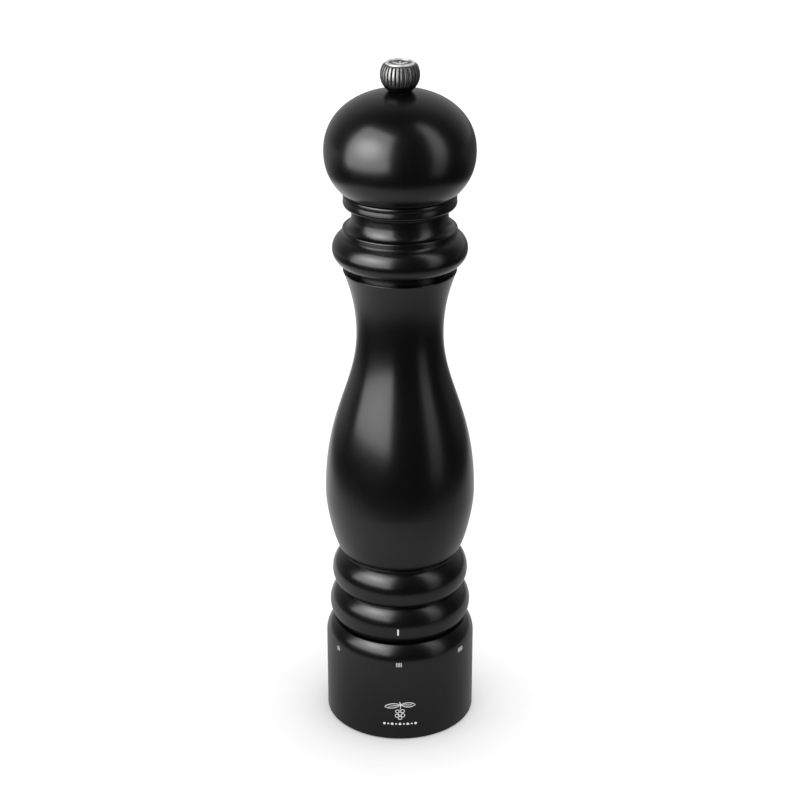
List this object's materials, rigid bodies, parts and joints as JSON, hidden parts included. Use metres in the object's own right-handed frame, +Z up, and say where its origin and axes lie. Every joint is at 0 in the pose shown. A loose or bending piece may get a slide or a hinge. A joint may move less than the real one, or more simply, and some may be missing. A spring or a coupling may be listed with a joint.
{
  "type": "pepper mill",
  "caption": "Tall turned wooden pepper mill with a head-turned burr mechanism, a ribbed clamping knob and a stepped grind selector ring at the base.",
  "frame": {"origin": "centre of the face that the mill stands on", "axes": "+Z up along the mill's axis towards the knob, -Y towards the selector's index mark"},
  "size_m": [0.0662, 0.0662, 0.3],
  "materials": {
    "black_lacquered_wood": "satin lacquer over turned beech",
    "black_plastic": "moulded, fine texture",
    "ivory_plastic": "moulded acetal",
    "burr_steel": "case-hardened",
    "screw_steel": "zinc plated",
    "shaft_aluminium": "drawn bar",
    "knob_metal": "burnished dark metal with bright rib crests",
    "bezel_metal": "polished",
    "disc_enamel": "glossy dark inlay",
    "insert_brass": "machined"
  },
  "bodies": {
    "mill_body": {"body": "black_lacquered_wood", "mechanism_housing": "black_plastic", "housing_screws": "screw_steel", "shaft_guide": "black_plastic", "retaining_ring": "black_plastic", "retaining_ring_screws": "screw_steel", "detent_ball": "screw_steel", "detent_spring": "screw_steel", "wave_spring": "screw_steel"},
    "grind_selector": {"base_ring": "black_lacquered_wood", "adjuster_ring": "ivory_plastic"},
    "stator_assembly": {"stator_carrier": "black_plastic", "stator": "burr_steel"},
    "grind_drive": {"drive_shaft": "shaft_aluminium", "rotor": "burr_steel", "rotor_washer": "screw_steel", "rotor_screw": "screw_steel", "thrust_washer": "ivory_plastic", "retaining_clip": "screw_steel"},
    "head": {"head_ball": "black_lacquered_wood", "driver_plate": "screw_steel", "driver_screws": "screw_steel"},
    "captive_washer": {"knob_washer": "ivory_plastic"},
    "knob": {"knob_shell": "knob_metal", "knob_insert": "insert_brass", "knob_disc": "disc_enamel", "knob_bezel": "bezel_metal"}
  },
  "joints": [
    {"name": "head_turn", "type": "hinge", "parent": "mill_body", "child": "grind_drive", "pos_m": [0, 0, 0.15], "axis": [0, 0, 1], "continuous": true},
    {"name": "head_lift", "type": "slide", "parent": "grind_drive", "child": "head", "axis": [0, 0, 1], "range_m": [0, 0.085]},
    {"name": "knob_rise", "type": "slide", "parent": "head", "child": "captive_washer", "axis": [0, 0, 1], "range_m": [0, 0.004]},
    {"name": "knob_turn", "type": "hinge", "parent": "captive_washer", "child": "knob", "pos_m": [0, 0, 0.295], "axis": [0, 0, 1], "range_deg": [0, 1800]},
    {"name": "selector_turn", "type": "hinge", "parent": "mill_body", "child": "grind_selector", "pos_m": [0, 0, 0.023], "axis": [0, 0, 1], "range_deg": [-110, 165]},
    {"name": "stator_shift", "type": "slide", "parent": "mill_body", "child": "stator_assembly", "axis": [0, 0, 1], "range_m": [-0.00055, 0.000367], "deforming": ["wave_spring"]}
  ],
  "couplings": [
    {"joint": "knob_turn", "follows": "knob_rise", "rad_per_m": 7854},
    {"joint": "stator_shift", "follows": "selector_turn", "m_per_rad": -0.00019098}
  ]
}
